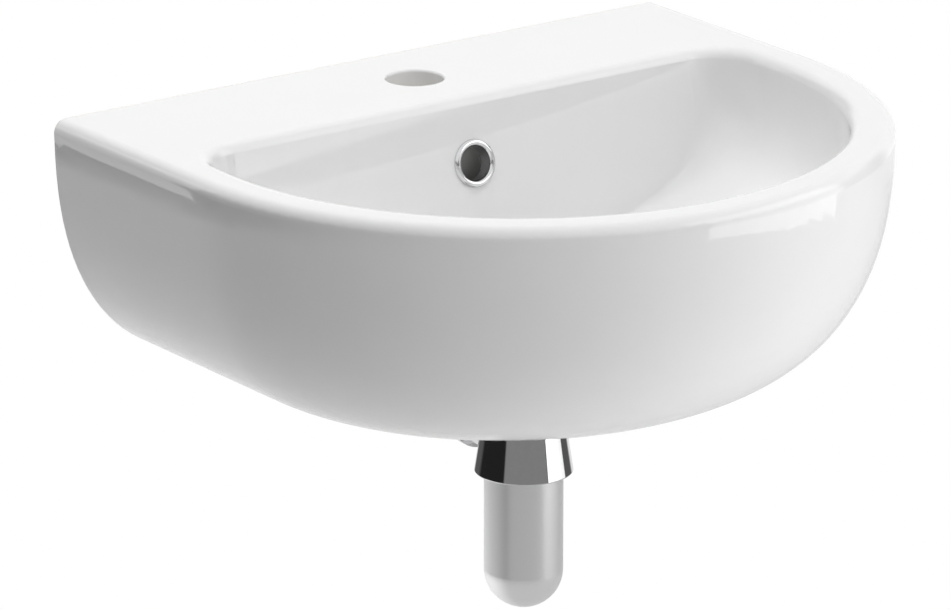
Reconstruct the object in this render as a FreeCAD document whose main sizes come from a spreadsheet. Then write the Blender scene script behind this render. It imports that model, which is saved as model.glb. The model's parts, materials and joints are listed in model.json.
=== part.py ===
import FreeCAD, Part
import Sketcher
import math
import os

# Wall-hung cloakroom basin with click waste and bottle trap.
# Frame: origin midway between the two wall fixing holes, wall plane y = 0, basin towards -Y, +Z up.

SIZES = {
    # basin, outside
    "basin_radius": 225,
    "rim_height": 70,
    "foot_side": 42,
    "foot_front": 1.5,
    "foot_clearance": 24,
    "shell_wall": 9,
    "deck_thickness": 13,
    "rim_width": 27,
    "outer_rim_rounding": 8,
    "inner_rim_rounding": 7,
    # bowl
    "bowl_depth": 110,
    "bowl_floor_rise": 33,
    "bowl_wall": 10,
    "bowl_back": 103,
    "bowl_corner": 30,
    "bowl_side": 20,
    "seat_flat": 4,
    "seat_side": 2.55,
    "seat_rim": 1,
    "seat_recess": 3.5,
    "recess_gap": 1.5,
    "waste_hole_gap": 2.55,
    "boss_width": 14.5,
    "boss_below": 3,
    # overflow
    "overflow_drop": 39,
    "overflow_hole_radius": 12,
    "duct_half_width": 22,
    "duct_depth": 9,
    "duct_wall": 5,
    "channel_drop": 11,
    "channel_height": 11,
    "chamber_depth": 6.5,
    # deck and back
    "tap_reach": 51.3,
    "tap_hole_radius": 17.5,
    "tap_hole_rounding": 1.8,
    "fixing_spread": 140,
    "fixing_hole_radius": 8,
    "land_thickness": 16,
    "land_inside": 45,
    "land_drop": 30,
    "land_rounding": 14,
    "service_gap": 10,
    # overflow ring
    "ring_lip": 2.7,
    "ring_wall": 1.5,
    "ring_thickness": 2.2,
    "ring_barrel": 8,
    # waste
    "flange_radius": 31.5,
    "flange_rim": 5.5,
    "flange_thickness": 2.5,
    "flange_dish": 2,
    "tail_radius": 20.95,
    "tail_wall": 3,
    "slot_width": 14,
    "hub_wall": 2.8,
    "hub_height": 12,
    "hub_drop": 16,
    "spoke_width": 4,
    "spoke_height": 7,
    "top_seal_thickness": 1.5,
    "under_washer_thickness": 3,
    "under_washer_inset": 4,
    "slip_washer_thickness": 1,
    "slip_washer_inset": 5,
    "backnut_wall": 6,
    "backnut_height": 9,
    # plug
    "cap_inset": 2,
    "cap_edge": 2,
    "cap_dome": 3.5,
    "plug_seal_inset": 1,
    "plug_seal_width": 6.5,
    "plug_seal_thickness": 2.5,
    "plug_travel": 6,
    "stem_radius": 4,
    "stem_length": 30,
    "stem_foot": 4,
    "cartridge_wall": 0.85,
    "cartridge_lip": 1.8,
    "cartridge_lip_height": 2,
    "cartridge_length": 22,
    "cartridge_floor": 2,
    "spring_inset": 0.9,
    "spring_wire": 0.5,
    # trap inlet
    "inlet_nut_wall": 5,
    "inlet_nut_height": 18.5,
    "inlet_nut_lip": 3,
    "inlet_nut_gap": 2,
    "inlet_washer_thickness": 2.5,
    "union_inset": 0.45,
    "tube_radius": 16,
    "tube_wall": 1.5,
    "tube_flange": 2,
    "dip_rise": 6.2,
    # trap head
    "head_drop": 10,
    "head_wall": 2.25,
    "skirt_wall": 5.7,
    "skirt_bore_height": 8.4,
    "chamber_step": 0.9,
    "gland_height": 8,
    "o_ring_height": 2.6,
    "o_ring_width": 1.95,
    "head_rounding": 2.5,
    "skirt_rounding": 0.8,
    # bottle
    "bottle_gap": 7.9,
    "bottle_wall": 2,
    "bottle_side": 68.7,
    "bottle_seal_thickness": 2,
    # outlet
    "spigot_rise": 5.8,
    "spigot_sink": 0.1,
    "spigot_wall": 2.6,
    "spigot_length": 20.6,
    "socket_stop": 3.5,
    "socket_depth": 10,
    "outlet_seal_thickness": 3.5,
    "outlet_slip_thickness": 1.2,
    "outlet_nut_wall": 2.9,
    "outlet_nut_taper": 1.9,
    "outlet_nut_edge": 5,
    "outlet_nut_length": 16,
    "outlet_nut_lip": 3.3,
    "pipe_stub": 35,
    # wall flange
    "wall_flange_width": 16.5,
    "wall_flange_collar": 4,
    "wall_flange_height": 11,
    "wall_flange_edge": 1.5,
    "wall_flange_bore_height": 7.5,
    "grip_ring_height": 2.6,
    "grip_ring_level": 3,
    "grip_ring_width": 1.8,
    # clearances
    "fit": 0.05,
    "running_gap": 0.3,
    "seat_gap": 0.1,
    "overrun": 2,
}

SIDE_POWER_SHARE = 2.5
FRONT_POWER_SHARE = 2.62
BOWL_POWER_SHARE = 4.5
BACK_LEAN_SHARE = 0.245
BELLY_STEPS = 8
BOWL_STEPS = 7
SLOT_COUNT = 4
SPOKE_COUNT = 3
SPRING_TURNS = 5
FULL_TURN = 360.0
HEX_SIDES = 6


class Size:
    """A length together with the sheet formula it comes from."""

    def __init__(self, value, formula):
        self.value = value
        self.formula = formula

    def __add__(self, other):
        return Size(self.value + other.value, f"({self.formula} + {other.formula})")

    def __sub__(self, other):
        return Size(self.value - other.value, f"({self.formula} - {other.formula})")

    def __mul__(self, share):
        return Size(self.value * share, f"({self.formula} * {share:.9f})")

    def __neg__(self):
        return Size(-self.value, f"(0 - {self.formula})")


class Sizes:
    """All driving dimensions by name."""


doc = FreeCAD.newDocument("cloakroom_basin")
sheet = doc.addObject("Spreadsheet::Sheet", "dims")
size = Sizes()
for row, (alias, value) in enumerate(SIZES.items(), start=1):
    sheet.set(f"A{row}", alias)
    sheet.set(f"B{row}", str(value))
    sheet.setAlias(f"B{row}", alias)
    setattr(size, alias, Size(float(value), f"dims.{alias}"))
doc.recompute()

ZERO = Size(0.0, "0")
HALF = 0.5
PIECES = []


def new_form(name, y=ZERO, z=ZERO, tilt=0.0):
    """A named body, standing at (0, y, z)."""
    body = doc.addObject("PartDesign::Body", name)
    body.Label = name
    tilted = FreeCAD.Rotation(FreeCAD.Vector(1, 0, 0), tilt)
    body.Placement = FreeCAD.Placement(FreeCAD.Vector(0, y.value, z.value), tilted)
    body.setExpression("Placement.Base.y", y.formula)
    body.setExpression("Placement.Base.z", z.formula)
    return body


def new_body(name, y=ZERO, z=ZERO, tilt=0.0):
    """A body that is one of the object's pieces."""
    body = new_form(name, y, z, tilt)
    PIECES.append(body)
    return body


def new_sketch(body, name, plane, level=ZERO):
    """An empty sketch on one of the body's own planes, moved along its normal by level."""
    sketch = body.newObject("Sketcher::SketchObject", f"{body.Name}_{name}")
    support = [f for f in body.Origin.OriginFeatures if f.Role == plane][0]
    sketch.AttachmentSupport = [(support, "")]
    sketch.MapMode = "FlatFace"
    sketch.AttachmentOffset = FreeCAD.Placement(FreeCAD.Vector(0, 0, level.value), FreeCAD.Rotation())
    sketch.setExpression("AttachmentOffset.Base.z", level.formula)
    return sketch


def bind(sketch, kind, geometry, point, length):
    """Tie one coordinate of a point to its formula."""
    if length is ZERO:
        axis = {"DistanceX": -2, "DistanceY": -1}[kind]
        sketch.addConstraint(Sketcher.Constraint("PointOnObject", geometry, point, axis))
        return
    index = sketch.addConstraint(Sketcher.Constraint(kind, -1, 1, geometry, point, length.value))
    sketch.setExpression(f"Constraints[{index}]", length.formula)


def arc_between(start, end, centre, turn):
    """The arc from start to end round centre, anticlockwise for turn 1 and clockwise for turn -1."""
    first = math.atan2(start.y - centre.y, start.x - centre.x)
    last = math.atan2(end.y - centre.y, end.x - centre.x)
    while (last - first) * turn <= 0:
        last += turn * 2 * math.pi
    middle = (first + last) * HALF
    radius = start.distanceToPoint(centre)
    bend = centre + FreeCAD.Vector(math.cos(middle), math.sin(middle), 0) * radius
    return Part.Arc(start, bend, end)


def outline(sketch, corners):
    """Closed outline. A corner is (x, y), or (x, y, centre_x, centre_y, turn) where an arc follows it."""
    points = [FreeCAD.Vector(c[0].value, c[1].value, 0) for c in corners]
    ends = []
    for number, corner in enumerate(corners):
        start = points[number]
        end = points[(number + 1) % len(points)]
        if len(corner) == 2:
            index = sketch.addGeometry(Part.LineSegment(start, end))
        else:
            centre = FreeCAD.Vector(corner[2].value, corner[3].value, 0)
            index = sketch.addGeometry(arc_between(start, end, centre, corner[4]))
        first_gap = sketch.getPoint(index, 1).distanceToPoint(start)
        last_gap = sketch.getPoint(index, 2).distanceToPoint(start)
        ends.append((index, 1, 2) if first_gap < last_gap else (index, 2, 1))
    for number, (index, first, last) in enumerate(ends):
        following = ends[(number + 1) % len(ends)]
        sketch.addConstraint(Sketcher.Constraint("Coincident", index, last, following[0], following[1]))
    for corner, (index, first, last) in zip(corners, ends):
        bind(sketch, "DistanceX", index, first, corner[0])
        bind(sketch, "DistanceY", index, first, corner[1])
        if len(corner) > 2:
            bind(sketch, "DistanceY", index, 3, corner[3])


def circle(sketch, x, y, radius):
    """A full circle."""
    centre = FreeCAD.Vector(x.value, y.value, 0)
    index = sketch.addGeometry(Part.Circle(centre, FreeCAD.Vector(0, 0, 1), radius.value))
    bind(sketch, "DistanceX", index, 3, x)
    bind(sketch, "DistanceY", index, 3, y)
    rule = sketch.addConstraint(Sketcher.Constraint("Radius", index, radius.value))
    sketch.setExpression(f"Constraints[{rule}]", radius.formula)


def feature(body, kind, name, sketch):
    """A feature made from a sketch, which becomes the body's last step."""
    step = body.newObject(f"PartDesign::{kind}", f"{body.Name}_{name}")
    step.Profile = sketch
    body.Tip = step
    return step


def slab(body, kind, name, sketch, length):
    """Pad or Pocket that reaches half its length to either side of the sketch."""
    step = feature(body, kind, name, sketch)
    step.SideType = "Symmetric"
    step.Length = length.value
    step.setExpression("Length", length.formula)
    return step


def loft(body, kind, name, sketches):
    """Smooth skin through the sections."""
    step = feature(body, kind, name, sketches[0])
    step.Sections = sketches[1:]
    return step


def turned(name, corners, y=ZERO, z=ZERO, plane="XZ_Plane", tilt=0.0):
    """A piece turned from the half outline (radius, height), about Z or, on the XY plane, about Y."""
    body = new_body(name, y, z, tilt)
    sketch = new_sketch(body, "profile", plane)
    outline(sketch, corners)
    step = feature(body, "Revolution", "turning", sketch)
    step.ReferenceAxis = (sketch, ["V_Axis"])
    step.Angle = FULL_TURN
    return body


def ring(name, inner, outer, height, y=ZERO, z=ZERO, plane="XZ_Plane"):
    """A flat ring that starts at its own level and rises by height."""
    return turned(name, [(inner, ZERO), (outer, ZERO), (outer, height), (inner, height)], y, z, plane)


def rounded(body, name, radius, chosen):
    """Fillet on the edges that chosen picks."""
    doc.recompute()
    base = body.Tip
    names = [f"Edge{n}" for n, edge in enumerate(base.Shape.Edges, start=1) if chosen(edge)]
    step = body.newObject("PartDesign::Fillet", f"{body.Name}_{name}")
    step.Base = (base, names)
    step.Radius = radius.value
    step.setExpression("Radius", radius.formula)
    body.Tip = step
    return step


def middle_of(edge):
    """The point half way along an edge."""
    return edge.valueAt((edge.FirstParameter + edge.LastParameter) * HALF)


# Sizes and places that several pieces share
tail_bore = size.tail_radius - size.tail_wall
thread_bore = size.tail_radius + size.fit
waste_hole_radius = size.tail_radius + size.waste_hole_gap
boss_radius = waste_hole_radius + size.boss_width
recess_radius = size.flange_radius + size.recess_gap
seat_radius = recess_radius + size.seat_rim
seat_corner = seat_radius - size.seat_flat
service_radius = boss_radius + size.service_gap
hub_bore = size.stem_radius + size.running_gap + size.cartridge_wall + size.fit
hub_radius = hub_bore + size.hub_wall
bottle_radius = size.tube_radius + size.bottle_gap
bottle_bore = bottle_radius - size.bottle_wall
chamber_bore = bottle_bore - size.chamber_step
skirt_radius = bottle_radius + size.running_gap + size.skirt_wall
spigot_radius = size.tube_radius + size.spigot_wall
spigot_reach = skirt_radius + size.spigot_length
outlet_height = size.spigot_rise + spigot_radius
head_height = outlet_height + spigot_radius - size.spigot_sink

bowl_radius = size.basin_radius - size.rim_width
side_reach = size.bowl_back + size.bowl_corner + size.bowl_side
basin_reach = side_reach + size.basin_radius
boss_drop = size.channel_drop + size.channel_height + size.duct_wall + size.boss_below
basin_height = size.bowl_depth + boss_drop + size.foot_clearance
waste_reach = size.bowl_back + size.bowl_depth * BACK_LEAN_SHARE + seat_corner + size.seat_side
foot_radius = service_radius + size.foot_side
foot_reach = waste_reach + service_radius + size.foot_front
waste_y = -waste_reach
spigot_end = waste_y + spigot_reach

floor_level = size.rim_height - size.bowl_depth
recess_level = floor_level - size.seat_recess
flange_level = recess_level + size.top_seal_thickness
flange_top = flange_level + size.flange_thickness
boss_level = floor_level - boss_drop
channel_top = floor_level - size.channel_drop
channel_middle = channel_top - size.channel_height * HALF
channel_bottom = channel_top - size.channel_height
foot_level = size.rim_height - basin_height
backnut_level = boss_level - size.under_washer_thickness - size.slip_washer_thickness - size.backnut_height
inlet_nut_level = backnut_level - size.inlet_nut_gap - size.inlet_nut_height
tube_flange_level = inlet_nut_level + size.inlet_nut_lip
tail_end = tube_flange_level + size.tube_flange + size.inlet_washer_thickness
tail_length = flange_level - tail_end
skirt_level = tail_end - size.head_drop - head_height
bottle_rim_level = skirt_level + size.skirt_bore_height - size.bottle_seal_thickness
outlet_level = skirt_level + outlet_height


def curve_shares(angle, power):
    """Width and depth shares where a ray at angle meets the curve width^power + depth^power = 1."""
    across = max(math.cos(angle), 0)
    down = math.sin(angle)
    reach = (across ** power + down ** power) ** (1 / power)
    return across / reach, down / reach


def belly_section(body, name, angle, inset, rear):
    """D outline of the belly where the ray at angle meets its profile, drawn inset from the outer face."""
    side_share, depth_share = curve_shares(angle, SIDE_POWER_SHARE)
    front_share = max(1 - depth_share ** FRONT_POWER_SHARE, 0) ** (1 / FRONT_POWER_SHARE)
    outer = foot_radius + (size.basin_radius - foot_radius) * side_share
    reach = foot_reach + (basin_reach - foot_reach) * front_share
    centre = outer - reach
    radius = outer - inset
    sketch = new_sketch(body, name, "XY_Plane", size.rim_height - (basin_height - inset) * depth_share)
    outline(sketch, [
        (-radius, rear),
        (radius, rear),
        (radius, centre, ZERO, centre, -1),
        (-radius, centre),
    ])
    return sketch


def belly_sections(body, name, first_share, inset, rear):
    """Sections from first_share of the height down to the flat foot."""
    first_width = (1 - first_share ** SIDE_POWER_SHARE) ** (1 / SIDE_POWER_SHARE)
    first = math.atan2(first_share, first_width)
    sections = []
    for step in range(BELLY_STEPS + 1):
        angle = first + (math.pi * HALF - first) * step / BELLY_STEPS
        sections.append(belly_section(body, f"{name}_{step}", angle, inset, rear))
    return sections


def bowl_sections(body, name, wall):
    """Sections of the bowl from rim to waste seat, drawn wall outside the bowl's face."""
    sections = []
    for step in range(BOWL_STEPS + 1):
        angle = math.pi * HALF * step / BOWL_STEPS
        width_share, depth_share = curve_shares(angle, BOWL_POWER_SHARE)
        depth = (size.bowl_depth - size.bowl_floor_rise * width_share) * depth_share
        sunk_share = depth.value / size.bowl_depth.value
        radius = seat_radius + (bowl_radius - seat_radius) * width_share + wall
        centre = -(side_reach + (waste_reach - side_reach) * sunk_share)
        back = wall - size.bowl_back - depth * BACK_LEAN_SHARE
        corner = size.bowl_corner + (seat_corner - size.bowl_corner) * sunk_share + wall
        turn_level = back - corner
        inner = radius - corner
        sketch = new_sketch(body, f"{name}_{step}", "XY_Plane", size.rim_height - depth - wall * depth_share)
        outline(sketch, [
            (-inner, back),
            (inner, back, inner, turn_level, -1),
            (radius, turn_level),
            (radius, centre, ZERO, centre, -1),
            (-radius, centre),
            (-radius, turn_level, -inner, turn_level, -1),
        ])
        sections.append(sketch)
    return sections


def back_face(drop, behind):
    """Point of the bowl's leaning back wall at a depth, and a distance behind it."""
    return behind - size.bowl_back - drop * BACK_LEAN_SHARE


def upright_hole(body, name, y, radius, level, length):
    """Round cut about a vertical axis, half its length to either side of level."""
    sketch = new_sketch(body, name, "XY_Plane", level)
    circle(sketch, ZERO, y, radius)
    slab(body, "Pocket", f"{name}_cut", sketch, length)


def leave_duct(core):
    """Overflow duct behind the bowl and its channel to the waste boss."""
    behind = size.bowl_wall + size.duct_depth + size.duct_wall
    low = size.bowl_depth + size.channel_drop + size.channel_height + size.duct_wall
    outer = new_sketch(core, "duct", "YZ_Plane")
    outline(outer, [
        (back_face(ZERO, behind), size.rim_height),
        (back_face(ZERO, ZERO), size.rim_height),
        (back_face(size.bowl_depth, ZERO), floor_level),
        (waste_y, floor_level),
        (waste_y, size.rim_height - low),
        (back_face(low, behind), size.rim_height - low),
    ])
    slab(core, "Pocket", "duct_block", outer, size.duct_half_width * 2)


def cut_duct(body):
    """Way of the overflow water inside the duct."""
    near = size.bowl_wall
    far = size.bowl_wall + size.duct_depth
    top = size.overflow_drop - size.overflow_hole_radius - size.overrun
    low = size.bowl_depth + size.channel_drop
    cavity = new_sketch(body, "cavity", "YZ_Plane")
    outline(cavity, [
        (back_face(top, far), size.rim_height - top),
        (back_face(top, near), size.rim_height - top),
        (back_face(low, near), channel_top),
        (waste_y, channel_top),
        (waste_y, channel_bottom),
        (back_face(low, far), channel_bottom),
    ])
    slab(body, "Pocket", "cavity_cut", cavity, (size.duct_half_width - size.duct_wall) * 2)
    mouth = new_sketch(body, "mouth", "XZ_Plane", -back_face(size.overflow_drop, ZERO))
    mouth_level = size.rim_height - size.overflow_drop
    mouth.AttachmentOffset = FreeCAD.Placement(
        FreeCAD.Vector(0, mouth_level.value, -back_face(size.overflow_drop, ZERO).value),
        FreeCAD.Rotation(FreeCAD.Vector(1, 0, 0), -math.degrees(math.atan(BACK_LEAN_SHARE))),
    )
    mouth.setExpression("AttachmentOffset.Base.y", mouth_level.formula)
    circle(mouth, ZERO, ZERO, size.overflow_hole_radius)
    slab(body, "Pocket", "mouth_cut", mouth, (size.bowl_wall + size.overrun) * 2)


def leave_lands(core):
    """Two thick lands at the back for the wall bolts, out to the skin, rounded at their free corners."""
    lands = new_sketch(core, "lands", "XZ_Plane")
    low = -size.land_drop
    inner = size.fixing_spread - size.land_inside
    outer = size.basin_radius
    turn_x = inner + size.land_rounding
    turn_z = low + size.land_rounding
    outline(lands, [
        (turn_x, low),
        (outer, low),
        (outer, size.rim_height),
        (inner, size.rim_height),
        (inner, turn_z, turn_x, turn_z, 1),
    ])
    outline(lands, [
        (-outer, low),
        (-turn_x, low, -turn_x, turn_z, 1),
        (-inner, turn_z),
        (-inner, size.rim_height),
        (-outer, size.rim_height),
    ])
    slab(core, "Pocket", "land_blocks", lands, size.land_thickness * 2)


def cut_fixings(body):
    """Holes for the two wall bolts."""
    holes = new_sketch(body, "fixings", "XZ_Plane")
    circle(holes, size.fixing_spread, ZERO, size.fixing_hole_radius)
    circle(holes, -size.fixing_spread, ZERO, size.fixing_hole_radius)
    slab(body, "Pocket", "fixing_holes", holes, (size.land_thickness + size.overrun) * 2)


def cut_service(body):
    """Opening in the underside for the trap and the tap tails."""
    opening = new_sketch(body, "service", "XY_Plane", foot_level)
    outline(opening, [
        (-service_radius, size.overrun),
        (service_radius, size.overrun),
        (service_radius, waste_y, ZERO, waste_y, -1),
        (-service_radius, waste_y),
    ])
    slab(body, "Pocket", "service_cut", opening, (size.shell_wall + size.overrun) * 2)


def trim_back(body):
    """Flat back that stands against the wall."""
    sketch = new_sketch(body, "back", "XZ_Plane", -size.overrun)
    side = size.basin_radius + size.overrun
    top = size.rim_height + size.overrun
    low = foot_level - size.overrun
    outline(sketch, [(-side, low), (side, low), (side, top), (-side, top)])
    slab(body, "Pocket", "back_trim", sketch, size.overrun * 2)


def cut_by(body, name, form):
    """Takes the shape of another body away."""
    step = body.newObject("PartDesign::Boolean", f"{body.Name}_{name}")
    step.Type = "Cut"
    step.setObjects([form])
    body.Tip = step


def make_core():
    """Form of the hollow in the casting: within the skin, clear of bowl, duct, boss and lands."""
    core = new_form("hollow_core")
    first_share = size.deck_thickness.value / (basin_height - size.shell_wall).value
    inside = belly_sections(core, "inside", first_share, size.shell_wall, size.overrun)
    loft(core, "AdditiveLoft", "inside", inside)
    loft(core, "SubtractiveLoft", "bowl_block", bowl_sections(core, "block", size.bowl_wall))
    leave_duct(core)
    upright_hole(core, "boss", waste_y, boss_radius, floor_level, boss_drop * 2)
    leave_lands(core)
    return core


def make_basin():
    """Hollow slip-cast basin: belly, bowl, deck, overflow way, waste boss and fixing lands."""
    core = make_core()
    body = new_body("basin")
    loft(body, "AdditiveLoft", "belly", belly_sections(body, "belly", 0.0, ZERO, size.overrun))
    trim_back(body)
    cut_by(body, "hollow_cut", core)
    loft(body, "SubtractiveLoft", "bowl_cut", bowl_sections(body, "bowl", ZERO))
    upright_hole(body, "recess", waste_y, recess_radius, floor_level, size.seat_recess * 2)
    waste_length = (boss_drop + size.overrun) * 2
    upright_hole(body, "waste_hole", waste_y, waste_hole_radius, floor_level, waste_length)
    chamber_radius = waste_hole_radius + size.chamber_depth
    upright_hole(body, "chamber", waste_y, chamber_radius, channel_middle, size.channel_height)
    cut_duct(body)
    tap_length = (size.deck_thickness + size.overrun) * 2
    upright_hole(body, "tap_hole", -size.tap_reach, size.tap_hole_radius, size.rim_height, tap_length)
    cut_fixings(body)
    cut_service(body)
    rim = size.rim_height.value
    near = size.overrun.value

    def on_rim(edge):
        box = edge.BoundBox
        return abs(box.ZMin - rim) < size.fit.value and abs(box.ZMax - rim) < size.fit.value

    def at_tap(edge):
        return middle_of(edge).y > -size.bowl_back.value + near

    def on_bowl(edge):
        point = middle_of(edge)
        across = math.hypot(point.x, min(point.y + side_reach.value, 0.0))
        return across < (bowl_radius + size.overrun).value

    def outer_edge(edge):
        return on_rim(edge) and not on_bowl(edge) and middle_of(edge).y < -near

    rounded(body, "outer_rim", size.outer_rim_rounding, outer_edge)
    rounded(body, "inner_rim", size.inner_rim_rounding, lambda e: on_rim(e) and on_bowl(e) and not at_tap(e))
    rounded(body, "tap_rim", size.tap_hole_rounding, lambda e: on_rim(e) and e.Closed and at_tap(e))


def make_overflow_ring():
    """Trim ring pressed into the overflow hole, square to the leaning wall."""
    barrel = size.overflow_hole_radius - size.fit
    opening = size.overflow_hole_radius - size.ring_wall
    lip = size.overflow_hole_radius + size.ring_lip
    crest = lip - size.ring_thickness
    inner_round = crest - opening
    turned("overflow_ring", [
        (opening, -size.ring_barrel),
        (barrel, -size.ring_barrel),
        (barrel, ZERO),
        (lip, ZERO, crest, ZERO, 1),
        (crest, size.ring_thickness, crest, size.ring_thickness - inner_round, 1),
        (opening, size.ring_thickness - inner_round),
    ], back_face(size.overflow_drop, ZERO), size.rim_height - size.overflow_drop,
        tilt=math.degrees(math.atan(1 / BACK_LEAN_SHARE)))


def make_waste_body():
    """Flanged waste with overflow slots and a hub on spokes for the plug cartridge."""
    top = tail_length + size.flange_thickness
    edge = size.flange_thickness * HALF
    body = turned("waste_body", [
        (tail_bore, ZERO),
        (size.tail_radius, ZERO),
        (size.tail_radius, tail_length),
        (size.flange_radius, tail_length),
        (size.flange_radius, top - edge),
        (size.flange_radius - edge, top),
        (size.flange_radius - size.flange_rim, top),
        (tail_bore, top - size.flange_dish),
    ], waste_y, tail_end)
    hub_top = tail_length - size.hub_drop
    hub = new_sketch(body, "hub", "XY_Plane", hub_top - size.hub_height * HALF)
    circle(hub, ZERO, ZERO, hub_radius)
    circle(hub, ZERO, ZERO, hub_bore)
    spoke_level = hub_top - size.hub_height + size.spoke_height * HALF
    spoke = new_sketch(body, "spoke", "XY_Plane", spoke_level)
    inner = hub_radius - size.hub_wall * HALF
    outer = tail_bore + size.tail_wall * HALF
    outline(spoke, [
        (size.spoke_width * HALF, inner),
        (size.spoke_width * HALF, outer),
        (-size.spoke_width * HALF, outer),
        (-size.spoke_width * HALF, inner),
    ])
    arm = slab(body, "Pad", "spoke_arm", spoke, size.spoke_height)
    spread(body, arm, SPOKE_COUNT)
    slab(body, "Pad", "hub_block", hub, size.hub_height)
    slot_level = channel_middle - tail_end
    slot = new_sketch(body, "slot", "XZ_Plane", size.tail_radius)
    half = size.slot_width * HALF
    height = size.channel_height * HALF
    outline(slot, [
        (-half, slot_level - height),
        (half, slot_level - height),
        (half, slot_level + height),
        (-half, slot_level + height),
    ])
    window = slab(body, "Pocket", "slot_cut", slot, (size.tail_wall + size.overrun) * 2)
    spread(body, window, SLOT_COUNT)


def spread(body, original, count):
    """Repeats a feature evenly about the body's upright axis."""
    pattern = body.newObject("PartDesign::PolarPattern", f"{original.Name}_set")
    pattern.Originals = [original]
    pattern.Axis = ([f for f in body.Origin.OriginFeatures if f.Role == "Z_Axis"][0], [""])
    pattern.Angle = FULL_TURN
    pattern.Occurrences = count
    body.Tip = pattern


def make_waste_fastening():
    """Seals, washers and hexagon nut that clamp the waste to the boss."""
    ring("waste_top_seal", waste_hole_radius, size.flange_radius, size.top_seal_thickness,
         waste_y, recess_level)
    under = boss_level - size.under_washer_thickness
    under_radius = boss_radius - size.under_washer_inset
    ring("waste_under_washer", thread_bore, under_radius, size.under_washer_thickness, waste_y, under)
    slip = under - size.slip_washer_thickness
    slip_radius = boss_radius - size.slip_washer_inset
    ring("waste_slip_washer", thread_bore, slip_radius, size.slip_washer_thickness, waste_y, slip)
    body = new_body("waste_backnut", waste_y, backnut_level)
    sketch = new_sketch(body, "hexagon", "XY_Plane", size.backnut_height * HALF)
    corners = []
    for number in range(HEX_SIDES):
        angle = 2 * math.pi * (number + HALF) / HEX_SIDES
        corner = (thread_bore + size.backnut_wall) * (1 / math.cos(math.pi / HEX_SIDES))
        corners.append((corner * math.cos(angle), corner * math.sin(angle)))
    outline(sketch, corners)
    circle(sketch, ZERO, ZERO, thread_bore)
    slab(body, "Pad", "nut", sketch, size.backnut_height)


def make_plug():
    """Press plug: cap, seal, stem, cartridge and its spring, shown open."""
    seal_level = flange_top + size.seat_gap + size.plug_travel
    cap_level = seal_level + size.plug_seal_thickness
    cap_radius = size.flange_radius - size.cap_inset
    seal_radius = cap_radius - size.plug_seal_inset
    seal_inner = seal_radius - size.plug_seal_width
    ring("plug_seal", seal_inner, seal_radius, size.plug_seal_thickness, waste_y, seal_level)
    dome = Size(
        (cap_radius.value ** 2 - size.cap_dome.value ** 2) / (2 * size.cap_dome.value),
        f"(({cap_radius.formula}^2 - {size.cap_dome.formula}^2) / (2 * {size.cap_dome.formula}))",
    )
    turned("plug_cap", [
        (ZERO, ZERO),
        (cap_radius, ZERO),
        (cap_radius, size.cap_edge, ZERO, size.cap_edge - dome, 1),
        (ZERO, size.cap_edge + size.cap_dome),
    ], waste_y, cap_level)
    foot = size.stem_radius - size.running_gap
    stem_level = cap_level - size.stem_length
    turned("plug_stem", [
        (ZERO, ZERO),
        (foot, ZERO),
        (foot, size.stem_foot),
        (size.stem_radius, size.stem_foot),
        (size.stem_radius, size.stem_length),
        (ZERO, size.stem_length),
    ], waste_y, stem_level)
    hub_top = flange_level - size.hub_drop
    cartridge_level = hub_top - size.cartridge_length
    outside = hub_bore - size.fit
    inside = size.stem_radius + size.running_gap
    lip = hub_bore + size.cartridge_lip
    top = size.cartridge_length + size.cartridge_lip_height
    turned("click_cartridge", [
        (ZERO, ZERO),
        (outside, ZERO),
        (outside, size.cartridge_length),
        (lip, size.cartridge_length),
        (lip, top),
        (inside, top),
        (inside, size.cartridge_floor),
        (ZERO, size.cartridge_floor),
    ], waste_y, cartridge_level)
    spring_level = cartridge_level + size.cartridge_floor + size.spring_wire
    spring = new_body("plug_spring", waste_y, spring_level)
    wire = new_sketch(spring, "wire", "XZ_Plane")
    circle(wire, size.stem_radius - size.spring_inset, ZERO, size.spring_wire)
    coil = feature(spring, "AdditiveHelix", "coil", wire)
    coil.ReferenceAxis = (wire, ["V_Axis"])
    coil.Mode = "height-turns-angle"
    coil.Turns = SPRING_TURNS
    height = stem_level - spring_level - size.spring_wire
    coil.Height = height.value
    coil.setExpression("Height", height.formula)


def make_inlet():
    """Union nut, washer and dip tube that hang the trap on the waste."""
    bevel = size.inlet_nut_lip * HALF
    union_radius = size.tail_radius - size.union_inset
    nut_radius = thread_bore + size.inlet_nut_wall
    ring("inlet_washer", tail_bore, union_radius, size.inlet_washer_thickness, waste_y,
         tail_end - size.inlet_washer_thickness)
    passage = size.tube_radius + size.running_gap
    turned("inlet_nut", [
        (passage, ZERO),
        (nut_radius - bevel, ZERO),
        (nut_radius, bevel),
        (nut_radius, size.inlet_nut_height - bevel),
        (nut_radius - bevel, size.inlet_nut_height),
        (thread_bore, size.inlet_nut_height),
        (thread_bore, size.inlet_nut_lip),
        (passage, size.inlet_nut_lip),
    ], waste_y, inlet_nut_level)
    tube_bore = size.tube_radius - size.tube_wall
    tube_end = bottle_rim_level - size.bottle_side + size.dip_rise
    top = tube_flange_level + size.tube_flange - tube_end
    turned("inlet_tube", [
        (tube_bore, ZERO),
        (size.tube_radius, ZERO),
        (size.tube_radius, top - size.tube_flange),
        (union_radius, top - size.tube_flange),
        (union_radius, top),
        (tube_bore, top),
    ], waste_y, tube_end)


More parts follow.
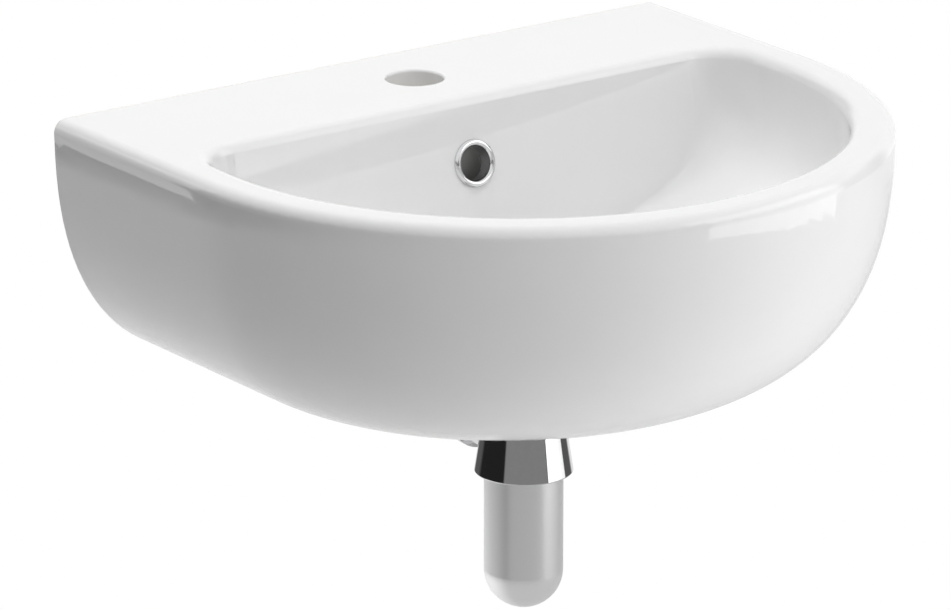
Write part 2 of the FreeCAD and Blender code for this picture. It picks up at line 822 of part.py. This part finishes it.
def make_trap_head():
    """Conical head with a gland for the dip tube, a bore for the bottle and the outlet spigot."""
    bore = bottle_radius + size.running_gap
    gland = size.tube_radius + size.fit
    groove = gland + size.o_ring_width
    gland_level = head_height - size.gland_height
    groove_level = gland_level + size.gland_height * HALF - size.o_ring_height * HALF
    body = turned("trap_head", [
        (bore, ZERO),
        (skirt_radius, ZERO),
        (chamber_bore + size.head_wall, head_height),
        (gland, head_height),
        (gland, groove_level + size.o_ring_height),
        (groove, groove_level + size.o_ring_height),
        (groove, groove_level),
        (gland, groove_level),
        (gland, gland_level),
        (chamber_bore, gland_level),
        (chamber_bore, size.skirt_bore_height),
        (bore, size.skirt_bore_height),
    ], waste_y, skirt_level)
    rounded(body, "top_edge", size.head_rounding, lambda e: (
        abs(e.BoundBox.ZMin - head_height.value) < size.fit.value
        and e.BoundBox.XMax > (gland + size.fit).value))
    rounded(body, "skirt_edge", size.skirt_rounding, lambda e: (
        abs(e.BoundBox.ZMax) < size.fit.value and e.BoundBox.XMax > (bore + size.fit).value))
    along_spigot(body, "spigot", "Pad", spigot_radius, chamber_bore + size.running_gap, spigot_reach)
    way_radius = size.tube_radius - size.socket_stop
    along_spigot(body, "outlet_way", "Pocket", way_radius, size.tube_radius, spigot_reach)
    socket_start = spigot_reach - size.socket_depth
    socket_end = spigot_reach + size.overrun
    along_spigot(body, "socket", "Pocket", size.tube_radius + size.fit, socket_start, socket_end)
    upright_hole(body, "bottle_bore", ZERO, bore, ZERO, size.skirt_bore_height * 2)
    ring("head_o_ring", gland, groove, size.o_ring_height, waste_y, skirt_level + groove_level)


def along_spigot(body, name, kind, radius, start, end):
    """Round pad or pocket along the outlet, from start to end behind the trap's axis."""
    sketch = new_sketch(body, name, "XZ_Plane", (start + end) * -HALF)
    circle(sketch, ZERO, outlet_height, radius)
    slab(body, kind, f"{name}_round", sketch, end - start)


def make_bottle():
    """Screw-off bottle with a half-round end, and the seal on its rim."""
    side = -size.bottle_side
    turned("bottle", [
        (bottle_bore, ZERO),
        (bottle_bore, side, ZERO, side, -1),
        (ZERO, side - bottle_bore),
        (ZERO, side - bottle_radius, ZERO, side, 1),
        (bottle_radius, side),
        (bottle_radius, ZERO),
    ], waste_y, bottle_rim_level)
    ring("bottle_seal", bottle_bore, bottle_radius, size.bottle_seal_thickness, waste_y, bottle_rim_level)


def make_outlet():
    """Compression joint and outlet pipe to the wall."""
    passage = size.tube_radius + size.fit
    ring("outlet_seal", passage, spigot_radius, size.outlet_seal_thickness,
         spigot_end, outlet_level, "XY_Plane")
    slip_y = spigot_end + size.outlet_seal_thickness
    ring("outlet_slip_ring", passage, spigot_radius, size.outlet_slip_thickness,
         slip_y, outlet_level, "XY_Plane")
    lip = size.outlet_nut_length - size.outlet_nut_lip
    thread = spigot_radius + size.fit
    nut_radius = spigot_radius + size.outlet_nut_wall
    turned("outlet_nut", [
        (thread, ZERO),
        (nut_radius, ZERO),
        (nut_radius, size.outlet_nut_edge),
        (nut_radius - size.outlet_nut_taper, size.outlet_nut_length),
        (passage, size.outlet_nut_length),
        (passage, lip),
        (thread, lip),
    ], slip_y + size.outlet_slip_thickness - lip, outlet_level, "XY_Plane")
    pipe_start = spigot_end - size.socket_depth
    pipe_bore = size.tube_radius - size.tube_wall
    pipe_length = size.pipe_stub - pipe_start
    ring("outlet_pipe", pipe_bore, size.tube_radius, pipe_length, pipe_start, outlet_level, "XY_Plane")


def make_wall_flange():
    """Dished cover plate where the pipe enters the wall, with the rubber ring that grips the pipe."""
    bore = size.tube_radius + size.running_gap
    groove = bore + size.grip_ring_width
    rim = size.tube_radius + size.wall_flange_width
    collar = size.tube_radius + size.wall_flange_collar
    ring_top = size.grip_ring_level + size.grip_ring_height
    turned("wall_flange", [
        (bore, ZERO),
        (collar, ZERO),
        (rim, size.wall_flange_height - size.wall_flange_edge),
        (rim, size.wall_flange_height),
        (rim - size.wall_flange_edge, size.wall_flange_height),
        (collar + size.wall_flange_edge, size.wall_flange_bore_height),
        (bore, size.wall_flange_bore_height),
        (bore, ring_top),
        (groove, ring_top),
        (groove, size.grip_ring_level),
        (bore, size.grip_ring_level),
    ], -size.wall_flange_height, outlet_level, "XY_Plane")
    ring("flange_grip_ring", size.tube_radius + size.fit, groove, size.grip_ring_height,
         size.grip_ring_level - size.wall_flange_height, outlet_level, "XY_Plane")


make_basin()
make_overflow_ring()
make_waste_body()
make_waste_fastening()
make_plug()
make_inlet()
make_trap_head()
make_bottle()
make_outlet()
make_wall_flange()
doc.recompute()

for item in doc.Objects:
    if "Invalid" in item.State or "Error" in item.State:
        raise RuntimeError(f"{item.Name} did not compute")

os.makedirs("parts", exist_ok=True)
for piece in PIECES:
    if piece.Shape.isNull() or not piece.Shape.isValid():
        raise RuntimeError(f"{piece.Label} has no valid shape")
    piece.Shape.exportStep(os.path.join("parts", f"{piece.Label}.step"))
    box = piece.Shape.BoundBox
    print(f"{piece.Label}: {piece.Shape.Volume:.0f} mm3, solids {len(piece.Shape.Solids)}, "
          f"{box.XLength:.1f} x {box.YLength:.1f} x {box.ZLength:.1f} mm")
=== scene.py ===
import bpy
import json
import math
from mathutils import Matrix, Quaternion, Vector


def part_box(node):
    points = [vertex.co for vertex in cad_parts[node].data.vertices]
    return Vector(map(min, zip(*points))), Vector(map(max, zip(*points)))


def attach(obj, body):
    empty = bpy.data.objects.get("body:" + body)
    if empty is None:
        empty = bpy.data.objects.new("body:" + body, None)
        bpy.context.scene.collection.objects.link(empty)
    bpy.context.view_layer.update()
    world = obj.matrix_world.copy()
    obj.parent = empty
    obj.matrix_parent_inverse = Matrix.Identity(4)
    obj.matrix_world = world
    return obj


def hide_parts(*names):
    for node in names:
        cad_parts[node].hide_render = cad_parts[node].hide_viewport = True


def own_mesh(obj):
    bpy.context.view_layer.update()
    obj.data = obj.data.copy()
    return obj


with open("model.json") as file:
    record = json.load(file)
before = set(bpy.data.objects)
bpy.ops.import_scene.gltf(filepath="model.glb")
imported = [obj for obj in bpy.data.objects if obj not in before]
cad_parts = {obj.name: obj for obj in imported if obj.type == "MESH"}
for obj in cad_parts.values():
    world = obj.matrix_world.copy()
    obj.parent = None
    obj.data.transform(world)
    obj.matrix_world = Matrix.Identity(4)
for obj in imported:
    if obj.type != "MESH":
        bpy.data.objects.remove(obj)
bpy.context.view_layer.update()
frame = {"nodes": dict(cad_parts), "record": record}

# Wall-hung cloakroom basin of glazed china with a chrome bottle trap.
# Metres, same frame as the solids: wall plane y = 0, basin towards -Y, +Z up.
MM = 0.001

# The basin's outer form, which the bare places of the china follow
RIM_LEVEL = 70 * MM
BASIN_HEIGHT = 164 * MM
BELLY_BEND = 2.5
FOOT_HALF_WIDTH = 90 * MM
RIM_HALF_WIDTH = 225 * MM
BACK_WALL_LEAN = 0.246

# The spring under the plug
SPRING_TURNS = 5
SPRING_WIRE = 0.5 * MM

# The studio: where its softboxes aim, how far off they stand, and the light of the room itself
FRONT_RIM = Vector((20 * MM, -370 * MM, 55 * MM))
KEY_DISTANCE = 2.4
MIRROR_DISTANCE = 2.35
FILL_DISTANCE = 2.2
ROOM_LIGHT = 0.137

# The photo's camera, fitted to the picture
PHOTO_WIDTH = 950
FOCAL_PIXELS = 6846.4
CAMERA_TURN = -36.187
CAMERA_RISE = 17.988
CAMERA_DISTANCE = 4029.4 * MM
CAMERA_AIM = Vector((-49.0 * MM, -180 * MM, -31.0 * MM))
SENSOR_WIDTH = 36.0


def linear(hex_colour):
    """sRGB hex to linear RGBA."""
    channels = [int(hex_colour[i:i + 2], 16) / 255 for i in (1, 3, 5)]
    return [c / 12.92 if c <= 0.04045 else ((c + 0.055) / 1.055) ** 2.4 for c in channels] + [1.0]


def add_node(tree, kind, settings=None, inputs=None):
    """One node with its settings; an input is a value, or another node's output to link."""
    made = tree.nodes.new(kind)
    for name, value in (settings or {}).items():
        setattr(made, name, value)
    for socket, value in (inputs or {}).items():
        if isinstance(value, bpy.types.NodeSocket):
            tree.links.new(value, made.inputs[socket])
        else:
            made.inputs[socket].default_value = value
    return made


def maths(tree, operation, *values, clamp=False):
    """Result of one maths step; clamp holds it between 0 and 1."""
    settings = {"operation": operation, "use_clamp": clamp}
    return add_node(tree, "ShaderNodeMath", settings, dict(enumerate(values))).outputs[0]


def ramp(tree, value, start, end, low=0.0, high=1.0, smooth=False):
    """Goes from low to high while value goes from start to end, and stays level outside them."""
    settings = {"interpolation_type": "SMOOTHSTEP" if smooth else "LINEAR"}
    return add_node(tree, "ShaderNodeMapRange", settings, {
        "Value": value, "From Min": start, "From Max": end, "To Min": low, "To Max": high}).outputs["Result"]


def step_mask(tree, value, start, end):
    """Soft edge of a mask: 0 at start, 1 at end."""
    return ramp(tree, value, start, end, smooth=True)


def all_of(tree, *masks):
    """Where every mask holds."""
    product = masks[0]
    for mask in masks[1:]:
        product = maths(tree, "MULTIPLY", product, mask)
    return product


def mixed(tree, share, first, second, kind="RGBA"):
    """First where share is 0, second where it is 1."""
    return add_node(tree, "ShaderNodeMix", {"data_type": kind}, {
        "Factor": share, "A": first, "B": second}).outputs["Result"]


def noise(tree, place, width, detail):
    """Soft noise with patches of about this width."""
    return add_node(tree, "ShaderNodeTexNoise", inputs={
        "Vector": place, "Scale": 1 / width, "Detail": detail}).outputs["Fac"]


def new_material(name):
    """An empty material with its tree, its object-space position and a shader that is already the output."""
    material = bpy.data.materials.new(name)
    material.use_nodes = True
    tree = material.node_tree
    tree.nodes.clear()
    shader = add_node(tree, "ShaderNodeBsdfPrincipled")
    add_node(tree, "ShaderNodeOutputMaterial", inputs={"Surface": shader.outputs["BSDF"]})
    place = add_node(tree, "ShaderNodeTexCoord").outputs["Object"]
    return material, tree, shader, place


def paint(tree, shader, pattern, darker, paler, roughness=None):
    """Colour between two hex values by a pattern, and roughness between two values by the same pattern."""
    tint = mixed(tree, pattern, linear(darker), linear(paler))
    tree.links.new(tint, shader.inputs["Base Color"])
    if roughness:
        tree.links.new(ramp(tree, pattern, 0.0, 1.0, *roughness), shader.inputs["Roughness"])


def emboss(tree, shader, height, strength, distance):
    """Fine relief by bump."""
    bump = add_node(tree, "ShaderNodeBump", inputs={
        "Height": height, "Strength": strength, "Distance": distance})
    tree.links.new(bump.outputs["Normal"], shader.inputs["Normal"])


def under_deck(tree, apart):
    """Mask of all that lies below the deck's upper face and rounding."""
    return step_mask(tree, apart.outputs["Z"], 59 * MM, 57.5 * MM)


def bare_places(tree, apart, across):
    """Mask of the unglazed china: the back face, and the hollow's rear part within the outer skin."""
    back = step_mask(tree, apart.outputs["Y"], -0.6 * MM, -0.2 * MM)
    # Half-width of the belly's outside at this height
    drop = maths(tree, "MULTIPLY_ADD", apart.outputs["Z"], -1 / BASIN_HEIGHT, RIM_LEVEL / BASIN_HEIGHT)
    bent = maths(tree, "POWER", drop, BELLY_BEND, clamp=True)
    left = maths(tree, "SUBTRACT", 1.0, bent, clamp=True)
    share = maths(tree, "POWER", left, 1 / BELLY_BEND)
    skin = maths(tree, "MULTIPLY_ADD", share, RIM_HALF_WIDTH - FOOT_HALF_WIDTH, FOOT_HALF_WIDTH)
    depth = maths(tree, "SUBTRACT", skin, across)
    within = step_mask(tree, depth, 3 * MM, 6 * MM)
    behind = step_mask(tree, apart.outputs["Y"], -101 * MM, -96 * MM)
    # The outside of the foot keeps its glaze
    above = step_mask(tree, apart.outputs["Z"], -92 * MM, -90.5 * MM)
    hollow = all_of(tree, within, behind, under_deck(tree, apart), above)
    return maths(tree, "MAXIMUM", hollow, back)


def inside_duct(tree, apart, across):
    """Mask of the overflow duct's inside, where shade is painted, from the bowl's leaning rear wall to the
    duct's own back wall.
    """
    narrow = step_mask(tree, across, 18 * MM, 17.2 * MM)
    lean = maths(tree, "MULTIPLY_ADD", apart.outputs["Z"], -BACK_WALL_LEAN, apart.outputs["Y"])
    rear = step_mask(tree, lean, -116 * MM, -114 * MM)
    near = step_mask(tree, lean, -95.5 * MM, -96.5 * MM)
    return all_of(tree, narrow, rear, under_deck(tree, apart), near)


def glazed_vitreous_china():
    """Slip-cast china, dipped in white glaze and fired: a deep even gloss with a faint orange-peel
    ripple, and bare matt biscuit where the glaze was wiped off, on the wall side and inside the hollow."""
    material, tree, shader, place = new_material("glazed_vitreous_china")
    apart = add_node(tree, "ShaderNodeSeparateXYZ", inputs={"Vector": place})
    across = maths(tree, "ABSOLUTE", apart.outputs["X"])
    # Cloudy glaze in patches about 60 mm wide, over biscuit with a grain of about 1.5 mm
    glaze = mixed(tree, noise(tree, place, 60 * MM, 2.0), linear("#f3f3f3"), linear("#f6f6f6"))
    grain = noise(tree, place, 1.5 * MM, 4.0)
    biscuit = mixed(tree, grain, linear("#ddd5c6"), linear("#ece6da"))
    bare = bare_places(tree, apart, across)
    surface = mixed(tree, bare, glaze, biscuit)
    # Painted shade inside the overflow duct: the glaze there is greyed where a wall behind the basin would
    # keep it dark
    surface = mixed(tree, inside_duct(tree, apart, across), surface, linear("#cfcfcd"))
    tree.links.new(surface, shader.inputs["Base Color"])
    tree.links.new(ramp(tree, bare, 0.0, 1.0, 0.02, 0.8), shader.inputs["Roughness"])
    # Orange-peel ripple of the fired glaze, about 14 mm from crest to crest
    ripple = noise(tree, place, 14 * MM, 1.0)
    emboss(tree, shader, mixed(tree, bare, ripple, grain, "FLOAT"), 0.012, 0.4 * MM)
    shader.inputs["IOR"].default_value = 1.52
    return material


def polished_chrome():
    """Chrome plate on polished brass: a neutral mirror with faint wiping marks."""
    material, tree, shader, place = new_material("polished_chrome")
    # Wiping marks about 4 mm wide, drawn coarser than real ones so that they show
    paint(tree, shader, noise(tree, place, 4 * MM, 5.0), "#d0d0d1", "#dadadb", (0.04, 0.1))
    shader.inputs["Metallic"].default_value = 1.0
    return material


def satin_chrome():
    """Chrome over bead-blasted brass: soft wide highlights with a very fine pearl grain and pale edges."""
    material, tree, shader, place = new_material("satin_chrome")
    # Blasted grain of 0.3 mm, drawn coarser than the real 0.05 mm so that it shows
    pearl = noise(tree, place, 0.3 * MM, 3.0)
    paint(tree, shader, pearl, "#e8e8e9", "#f2f2f3", (0.25, 0.37))
    emboss(tree, shader, pearl, 0.05, 0.05 * MM)
    shader.inputs["Metallic"].default_value = 1.0
    shader.inputs["Sheen Weight"].default_value = 0.5
    shader.inputs["Sheen Roughness"].default_value = 0.35
    return material


def machined_brass():
    """Bare turned brass: warm yellow with fine tool rings and a little tarnish."""
    material, tree, shader, place = new_material("machined_brass")
    # Tool rings 5 mm apart along the axis, coarser than real ones so that they show; the wave repeats each
    # 2 pi / (20 x scale)
    rings = add_node(tree, "ShaderNodeTexWave", {"bands_direction": "Z"}, {
        "Vector": place, "Scale": 1 / (0.8 * MM) / 20, "Distortion": 0.4}).outputs["Fac"]
    paint(tree, shader, noise(tree, place, 9 * MM, 4.0), "#b08a45", "#cfac66", (0.22, 0.42))
    emboss(tree, shader, rings, 0.15, 0.05 * MM)
    shader.inputs["Metallic"].default_value = 1.0
    return material


def moulded_rubber():
    """Black moulded rubber: matt, with a talc bloom."""
    material, tree, shader, place = new_material("moulded_rubber")
    bloom = noise(tree, place, 2 * MM, 5.0)
    paint(tree, shader, bloom, "#161617", "#2a2a2b", (0.6, 0.8))
    emboss(tree, shader, bloom, 0.1, 0.1 * MM)
    return material


def white_nylon():
    """Moulded nylon slip washers: off-white, slightly waxy."""
    material, tree, shader, place = new_material("white_nylon")
    paint(tree, shader, noise(tree, place, 6 * MM, 3.0), "#e2dfd4", "#eeece4", (0.38, 0.52))
    shader.inputs["IOR"].default_value = 1.53
    return material


def drawn_spring_steel():
    """Stainless spring wire: dull grey with fine drawing marks."""
    material, tree, shader, place = new_material("drawn_spring_steel")
    paint(tree, shader, noise(tree, place, 0.6 * MM, 3.0), "#8e9092", "#a9abad", (0.28, 0.45))
    shader.inputs["Metallic"].default_value = 1.0
    return material


FINISHES = {
    "vitreous_china": glazed_vitreous_china(),
    "chrome_plate": polished_chrome(),
    "satin_chrome": satin_chrome(),
    "bare_brass": machined_brass(),
    "black_rubber": moulded_rubber(),
    "white_plastic": white_nylon(),
    "spring_steel": drawn_spring_steel(),
}
for entry in frame["record"]["subparts"]:
    piece = frame["nodes"][entry["node"]]
    finish = FINISHES[entry["material_slot"]]
    for slot in piece.material_slots:
        slot.material = finish


def pressed_spring():
    """The coil under the plug's stem, a round wire swept up about the Z axis, which takes the place of the
    solid spring.
    """
    low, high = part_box("plug_spring")
    coil = (high[0] - low[0]) / 2 - SPRING_WIRE
    height = high[2] - low[2]
    # Round section of the wire, swept up about the Z axis
    bpy.ops.object.select_all(action="DESELECT")
    bpy.ops.mesh.primitive_circle_add(vertices=16, radius=SPRING_WIRE, location=(coil, 0, 0),
                                      rotation=(math.pi / 2, 0, 0))
    spring = bpy.context.object
    spring.name = "spring_coil"
    bpy.ops.object.transform_apply(location=True, rotation=True)
    screw = spring.modifiers.new("screw", "SCREW")
    screw.iterations = SPRING_TURNS
    screw.screw_offset = (height - 2 * SPRING_WIRE) / SPRING_TURNS
    screw.steps = 40
    screw.render_steps = 40
    bpy.ops.object.modifier_apply(modifier="screw")
    # Closed ends, and faces that look outwards
    bpy.ops.object.mode_set(mode="EDIT")
    bpy.ops.mesh.select_all(action="SELECT")
    bpy.ops.mesh.fill_holes(sides=0)
    bpy.ops.mesh.select_all(action="SELECT")
    bpy.ops.mesh.normals_make_consistent(inside=False)
    bpy.ops.object.mode_set(mode="OBJECT")
    bpy.ops.object.shade_smooth_by_angle(angle=math.radians(40))
    spring.location = ((low[0] + high[0]) / 2, (low[1] + high[1]) / 2, low[2] + SPRING_WIRE)
    bpy.ops.object.transform_apply(location=True)
    spring.data.materials.append(FINISHES["spring_steel"])
    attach(spring, "basin_set")
    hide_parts("plug_spring")
    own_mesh(spring)


def pale_floor():
    """Pale studio floor below the basin, out of the photo's view."""
    bpy.ops.object.select_all(action="DESELECT")
    bpy.ops.mesh.primitive_plane_add(size=1.8, location=(0, -0.2, -0.8))
    floor = bpy.context.object
    floor.name = "studio_floor"
    material, tree, shader, place = new_material("pale_floor_paint")
    # Mottled in patches about a third of a metre wide
    paint(tree, shader, noise(tree, place, 1 / 3, 3.0), "#f0f0f0", "#f5f5f5")
    shader.inputs["Roughness"].default_value = 0.7
    floor.data.materials.append(material)
    floor.visible_glossy = False


def direction(turn, rise):
    """Unit vector, turned from the front towards +X and raised from the horizon, in degrees."""
    turn, rise = math.radians(turn), math.radians(rise)
    return Vector((math.sin(turn) * math.cos(rise), -math.cos(turn) * math.cos(rise), math.sin(rise)))


def panel(name, place, facing, width, height, power, mirrored, tilt=0.0):
    """A flat studio lamp, tilted in its own plane by some degrees. Only a mirrored one shows in the glaze
    and the chrome, and it lights nothing else."""
    lamp = bpy.data.lights.new(name, "AREA")
    lamp.shape = "RECTANGLE"
    lamp.size = width
    lamp.size_y = height
    lamp.energy = power
    holder = bpy.data.objects.new(name, lamp)
    holder.location = place
    turned = facing.to_track_quat("-Z", "Y") @ Quaternion((0, 0, 1), math.radians(tilt))
    holder.rotation_euler = turned.to_euler()
    holder.visible_camera = False
    holder.visible_glossy = mirrored
    holder.visible_diffuse = not mirrored
    bpy.context.collection.objects.link(holder)


def softbox(name, turn, rise, distance, width, height, power, mirrored=False, tilt=0.0):
    """A panel that faces the basin's front rim from a direction in degrees."""
    way = direction(turn, rise)
    panel(name, FRONT_RIM + way * distance, -way, width, height, power, mirrored, tilt)


def mirrored_softbox():
    """What the glaze and the chrome show of the large softbox at the right. The low edge of its picture
    curves up to the right, so it is eight narrow panels side by side, with one broad panel above them."""
    for step in range(8):
        turn = 26.25 + 6.9 * step
        bend = turn - 27.2
        rise = -9.0 + 0.000515 * bend ** 2
        power = 1.36 - 0.0127 * (turn - 50.4)
        softbox(f"key_low_{step}", turn, rise, MIRROR_DISTANCE, 0.283, 0.93, power, mirrored=True,
                tilt=-0.063 * bend)
    softbox("key_high", 50.4, 26, MIRROR_DISTANCE, 2.447, 1.6, 20.0, mirrored=True)


def mirrored_strip():
    """Strip light that the left flank mirrors along its upper edge. Its front edge leans, in three slices."""
    level = 4.79
    top = 0.45
    aside = -0.6
    towards_basin = Vector((1, 0, 0))
    width, height = 0.562, 0.63
    panel("strip_left", Vector((aside, 0.714, top - height / 2)), towards_basin, width, height,
          level * width * height, True)
    width = 0.03
    for step in range(3):
        foot = -0.135 + 0.078 * step
        height = top - foot
        panel(f"strip_slice_{step}", Vector((aside, 0.418 - width * step, foot + height / 2)), towards_basin,
              width, height, level * width * height, True)


def background(tree, strength):
    """White background of this strength."""
    return add_node(tree, "ShaderNodeBackground", inputs={
        "Color": linear("#ffffff"), "Strength": strength}).outputs[0]


def studio_world():
    """White to the camera; to the glaze and the metal a studio with a floor, boards round the horizon and a
    ceiling; a soft grey room to everything else."""
    world = bpy.data.worlds.new("studio_room")
    bpy.context.scene.world = world
    world.use_nodes = True
    tree = world.node_tree
    tree.nodes.clear()
    ray = add_node(tree, "ShaderNodeLightPath")
    way = add_node(tree, "ShaderNodeTexCoord").outputs["Generated"]
    apart = add_node(tree, "ShaderNodeSeparateXYZ", inputs={"Vector": way})

    def along(axis):
        """How far the view goes along an axis."""
        settings = {"operation": "DOT_PRODUCT"}
        return add_node(tree, "ShaderNodeVectorMath", settings, {0: way, 1: axis}).outputs["Value"]

    # The floor's far edge lies a little lower at the left
    floor = ramp(tree, along((-0.028, 0.010, 1.0)), -0.335, -0.285, 1.0, 0.0, smooth=True)
    ceiling = step_mask(tree, apart.outputs["Z"], 0.22, 0.42)
    # A grey board stands in front, a black one at the left, a dark grey one at the right, and the white
    # backdrop shows at the right rear
    front = ramp(tree, along((-0.515, -0.857, 0)), 0.6, 0.65, 0.02, 0.285)
    right_rear = along((0.688, 0.725, 0))
    backdrop = ramp(tree, right_rear, 0.82, 0.9)
    right = ramp(tree, right_rear, 0.3, 0.5, 0.0, 0.12)
    upright = mixed(tree, backdrop, maths(tree, "MAXIMUM", front, right), 1.0, "FLOAT")
    # The floor is brightest at the left rear
    glow = ramp(tree, along((-0.342, 0.94, 0)), 0.3, 0.94, 0.6, 1.15)
    lower = mixed(tree, floor, upright, glow, "FLOAT")
    shown = mixed(tree, ceiling, lower, 1.0, "FLOAT")
    mirrored = add_node(tree, "ShaderNodeMixShader", inputs={
        0: ray.outputs["Is Glossy Ray"], 1: background(tree, ROOM_LIGHT), 2: background(tree, shown)})
    through = maths(tree, "MAXIMUM", ray.outputs["Is Camera Ray"], ray.outputs["Is Transmission Ray"])
    seen = add_node(tree, "ShaderNodeMixShader", inputs={
        0: through, 1: mirrored.outputs[0], 2: background(tree, 1.0)})
    add_node(tree, "ShaderNodeOutputWorld", inputs={"Surface": seen.outputs[0]})


def photo_camera():
    """Camera fitted to the photo: 36 degrees to the left, 18 degrees above, long lens."""
    towards = direction(CAMERA_TURN, CAMERA_RISE)
    lens = bpy.data.cameras.new("photo_camera")
    lens.sensor_width = SENSOR_WIDTH
    lens.lens = SENSOR_WIDTH * FOCAL_PIXELS / PHOTO_WIDTH
    lens.clip_end = 50.0
    camera = bpy.data.objects.new("photo_camera", lens)
    camera.location = CAMERA_AIM + towards * CAMERA_DISTANCE
    camera.rotation_euler = (-towards).to_track_quat("-Z", "Y").to_euler()
    bpy.context.collection.objects.link(camera)
    bpy.context.scene.camera = camera


pressed_spring()
pale_floor()
studio_world()
# One large softbox at the right front lights the china; the panels that the china mirrors are apart from it
softbox("key_right", 51, 11, KEY_DISTANCE, 2.81, 3.15, 37.0)
mirrored_softbox()
mirrored_strip()
# Light from above, from behind and from below
softbox("overhead", 0, 89, FILL_DISTANCE, 1.8, 1.8, 24.6)
softbox("rear_top", 180, 50, FILL_DISTANCE, 1.4, 1.4, 13.0)
softbox("rear_low", 180, -10, FILL_DISTANCE, 1.4, 1.4, 21.0)
softbox("low_front", 0, -25, FILL_DISTANCE, 1.2, 1.2, 15.7)
softbox("low_right", 70, -25, FILL_DISTANCE, 1.2, 1.2, 10.8)
softbox("top_left", -90, 50, FILL_DISTANCE, 1.4, 1.4, 8.1)
photo_camera()
bpy.context.scene.view_settings.view_transform = "Standard"
